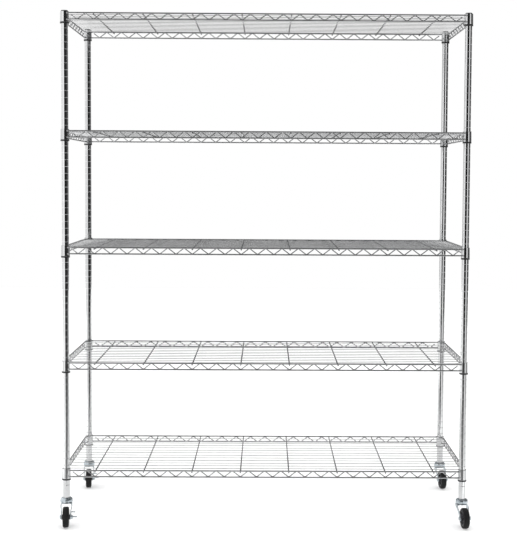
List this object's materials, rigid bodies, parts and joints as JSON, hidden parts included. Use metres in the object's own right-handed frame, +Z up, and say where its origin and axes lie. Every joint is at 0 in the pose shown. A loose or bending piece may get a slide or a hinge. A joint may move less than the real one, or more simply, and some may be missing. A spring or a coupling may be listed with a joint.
{
  "type": "wire shelving rack",
  "caption": "Mobile chrome wire shelving rack: grooved round posts, welded wire shelves on tapered sleeves, swivel casters with brakes.",
  "frame": {"origin": "on the floor, midway between the outer faces front to back, and midway between the posts left to right", "axes": "+X to the right seen from the front, +Y to the back, +Z up"},
  "size_m": [1.543, 0.6772, 1.918],
  "materials": {
    "chrome": "bright chrome plate",
    "zinc": "bright zinc plate",
    "ball_steel": "polished",
    "black_plastic": "moulded, satin",
    "wheel_plastic": "moulded, satin",
    "tyre": "smooth rubber"
  },
  "bodies": {
    "frame": {"post_front_left": "chrome", "post_front_right": "chrome", "post_back_left": "chrome", "post_back_right": "chrome", "post_caps": "black_plastic", "sleeves_1": "black_plastic", "sleeves_2": "black_plastic", "sleeves_3": "black_plastic", "sleeves_4": "black_plastic", "sleeves_5": "black_plastic", "caster_inserts": "zinc", "caster_stems": "zinc", "caster_race_caps": "zinc", "caster_balls": "ball_steel"},
    "shelf_1": {"shelf_1_collars": "chrome", "shelf_1_rails": "chrome", "shelf_1_truss_wires": "chrome", "shelf_1_cross_wires": "chrome", "shelf_1_deck_wires": "chrome"},
    "shelf_2": {"shelf_2_collars": "chrome", "shelf_2_rails": "chrome", "shelf_2_truss_wires": "chrome", "shelf_2_cross_wires": "chrome", "shelf_2_deck_wires": "chrome"},
    "shelf_3": {"shelf_3_collars": "chrome", "shelf_3_rails": "chrome", "shelf_3_truss_wires": "chrome", "shelf_3_cross_wires": "chrome", "shelf_3_deck_wires": "chrome"},
    "shelf_4": {"shelf_4_collars": "chrome", "shelf_4_rails": "chrome", "shelf_4_truss_wires": "chrome", "shelf_4_cross_wires": "chrome", "shelf_4_deck_wires": "chrome"},
    "shelf_5": {"shelf_5_collars": "chrome", "shelf_5_rails": "chrome", "shelf_5_truss_wires": "chrome", "shelf_5_cross_wires": "chrome", "shelf_5_deck_wires": "chrome"},
    "caster_front_left_swivel": {"caster_front_left_fork": "zinc", "caster_front_left_axle": "zinc"},
    "caster_front_left_wheel": {"caster_front_left_wheel_core": "wheel_plastic", "caster_front_left_tyre": "tyre"},
    "caster_front_left_brake": {"caster_front_left_brake_lever": "zinc"},
    "caster_front_right_swivel": {"caster_front_right_fork": "zinc", "caster_front_right_axle": "zinc"},
    "caster_front_right_wheel": {"caster_front_right_wheel_core": "wheel_plastic", "caster_front_right_tyre": "tyre"},
    "caster_back_left_swivel": {"caster_back_left_fork": "zinc", "caster_back_left_axle": "zinc"},
    "caster_back_left_wheel": {"caster_back_left_wheel_core": "wheel_plastic", "caster_back_left_tyre": "tyre"},
    "caster_back_left_brake": {"caster_back_left_brake_lever": "zinc"},
    "caster_back_right_swivel": {"caster_back_right_fork": "zinc", "caster_back_right_axle": "zinc"},
    "caster_back_right_wheel": {"caster_back_right_wheel_core": "wheel_plastic", "caster_back_right_tyre": "tyre"}
  },
  "joints": [
    {"name": "shelf_1_lift", "type": "slide", "parent": "frame", "child": "shelf_1", "axis": [0, 0, 1], "range_m": [0, 0.35]},
    {"name": "shelf_2_lift", "type": "slide", "parent": "frame", "child": "shelf_2", "axis": [0, 0, 1], "range_m": [0, 0.38]},
    {"name": "shelf_3_lift", "type": "slide", "parent": "frame", "child": "shelf_3", "axis": [0, 0, 1], "range_m": [0, 0.38]},
    {"name": "shelf_4_lift", "type": "slide", "parent": "frame", "child": "shelf_4", "axis": [0, 0, 1], "range_m": [0, 0.38]},
    {"name": "shelf_5_lift", "type": "slide", "parent": "frame", "child": "shelf_5", "axis": [0, 0, 1], "range_m": [0, 0.0762]},
    {"name": "caster_front_left_turn", "type": "hinge", "parent": "frame", "child": "caster_front_left_swivel", "pos_m": [-0.7455, -0.25535, 0.085], "axis": [0, 0, 1], "continuous": true},
    {"name": "caster_front_left_roll", "type": "hinge", "parent": "caster_front_left_swivel", "child": "caster_front_left_wheel", "pos_m": [-0.7408, -0.3001, 0.0381], "axis": [0.9945, 0.1045, 0], "continuous": true},
    {"name": "caster_front_left_brake", "type": "hinge", "parent": "caster_front_left_swivel", "child": "caster_front_left_brake", "pos_m": [-0.7408, -0.3001, 0.0381], "axis": [0.9945, 0.1045, 0], "range_deg": [0, 20]},
    {"name": "caster_front_right_turn", "type": "hinge", "parent": "frame", "child": "caster_front_right_swivel", "pos_m": [0.7455, -0.25535, 0.085], "axis": [0, 0, 1], "continuous": true},
    {"name": "caster_front_right_roll", "type": "hinge", "parent": "caster_front_right_swivel", "child": "caster_front_right_wheel", "pos_m": [0.7502, -0.3001, 0.0381], "axis": [0.9945, 0.1045, 0], "continuous": true},
    {"name": "caster_back_left_turn", "type": "hinge", "parent": "frame", "child": "caster_back_left_swivel", "pos_m": [-0.7455, 0.31565, 0.085], "axis": [0, 0, 1], "continuous": true},
    {"name": "caster_back_left_roll", "type": "hinge", "parent": "caster_back_left_swivel", "child": "caster_back_left_wheel", "pos_m": [-0.7408, 0.2709, 0.0381], "axis": [0.9945, 0.1045, 0], "continuous": true},
    {"name": "caster_back_left_brake", "type": "hinge", "parent": "caster_back_left_swivel", "child": "caster_back_left_brake", "pos_m": [-0.7408, 0.2709, 0.0381], "axis": [0.9945, 0.1045, 0], "range_deg": [0, 20]},
    {"name": "caster_back_right_turn", "type": "hinge", "parent": "frame", "child": "caster_back_right_swivel", "pos_m": [0.7455, 0.31565, 0.085], "axis": [0, 0, 1], "continuous": true},
    {"name": "caster_back_right_roll", "type": "hinge", "parent": "caster_back_right_swivel", "child": "caster_back_right_wheel", "pos_m": [0.7502, 0.2709, 0.0381], "axis": [0.9945, 0.1045, 0], "continuous": true}
  ]
}
